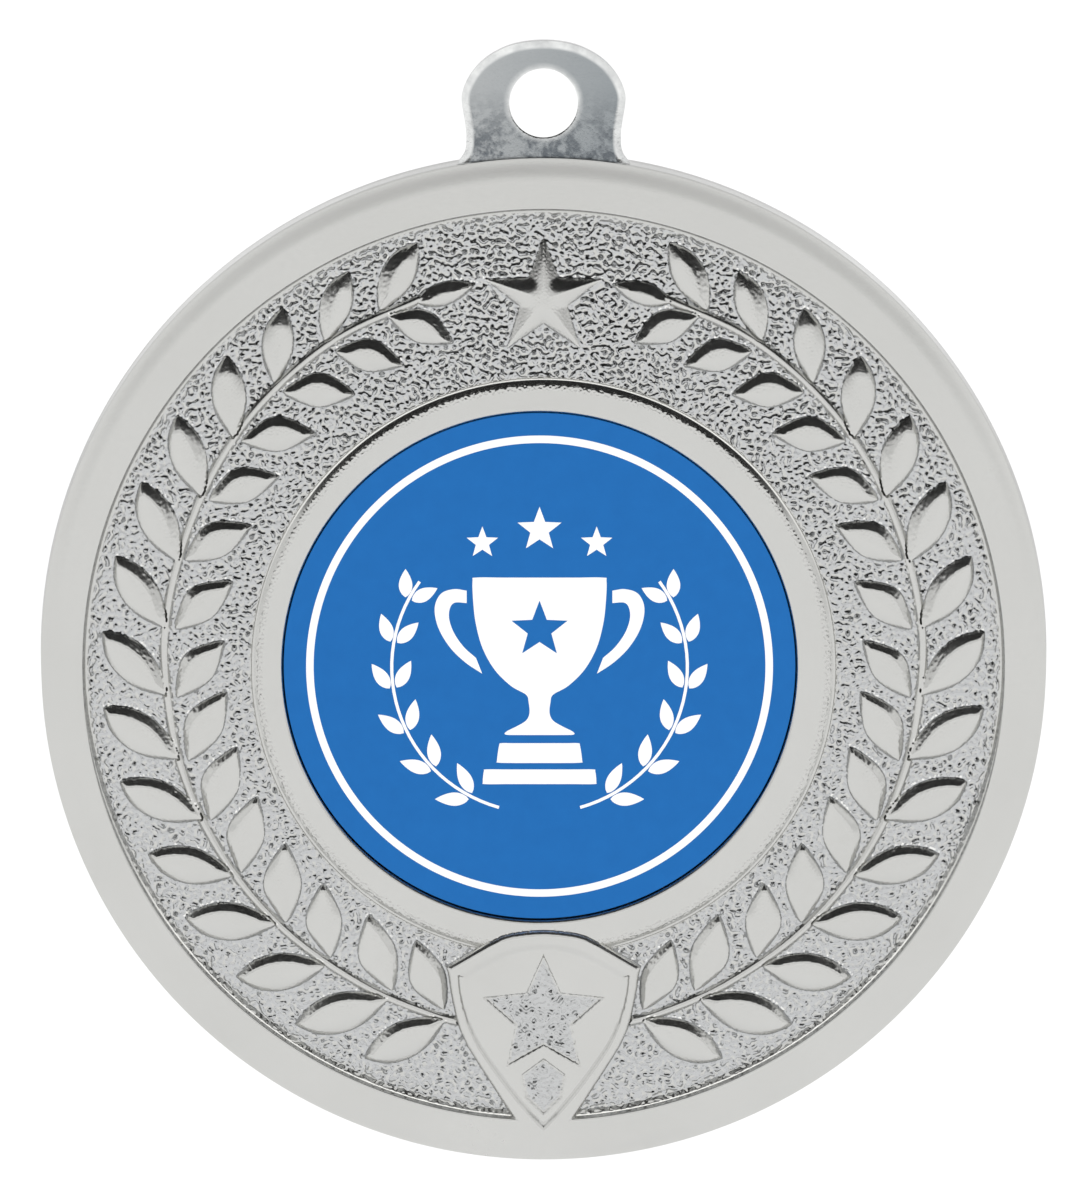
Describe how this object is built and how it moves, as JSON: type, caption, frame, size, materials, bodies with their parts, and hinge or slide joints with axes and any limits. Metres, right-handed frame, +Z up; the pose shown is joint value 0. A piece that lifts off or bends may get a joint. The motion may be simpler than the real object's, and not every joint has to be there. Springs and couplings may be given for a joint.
{
  "type": "medal",
  "caption": "Round silver award medal with a laurel wreath, star and shield in relief, a printed centre disc and a lug with a hole to hang it by.",
  "frame": {"origin": "middle of the hanging hole in the lug, on the middle plane of the disc", "axes": "+Z up from the disc's centre through the lug, -Y out of the face with the relief, +X to the right as the face is seen"},
  "size_m": [0.05, 0.003, 0.0558],
  "materials": {
    "silver_plate": "satin silver plate on die-cast zinc alloy, brighter on the lug",
    "adhesive": "pale double-sided adhesive pad",
    "printed_face": "blue printed plastic disc with a white line and a white cup emblem, satin"
  },
  "bodies": {
    "root": {"medal_body": "silver_plate", "insert_adhesive": "adhesive", "insert_disc": "printed_face"}
  },
  "joints": []
}
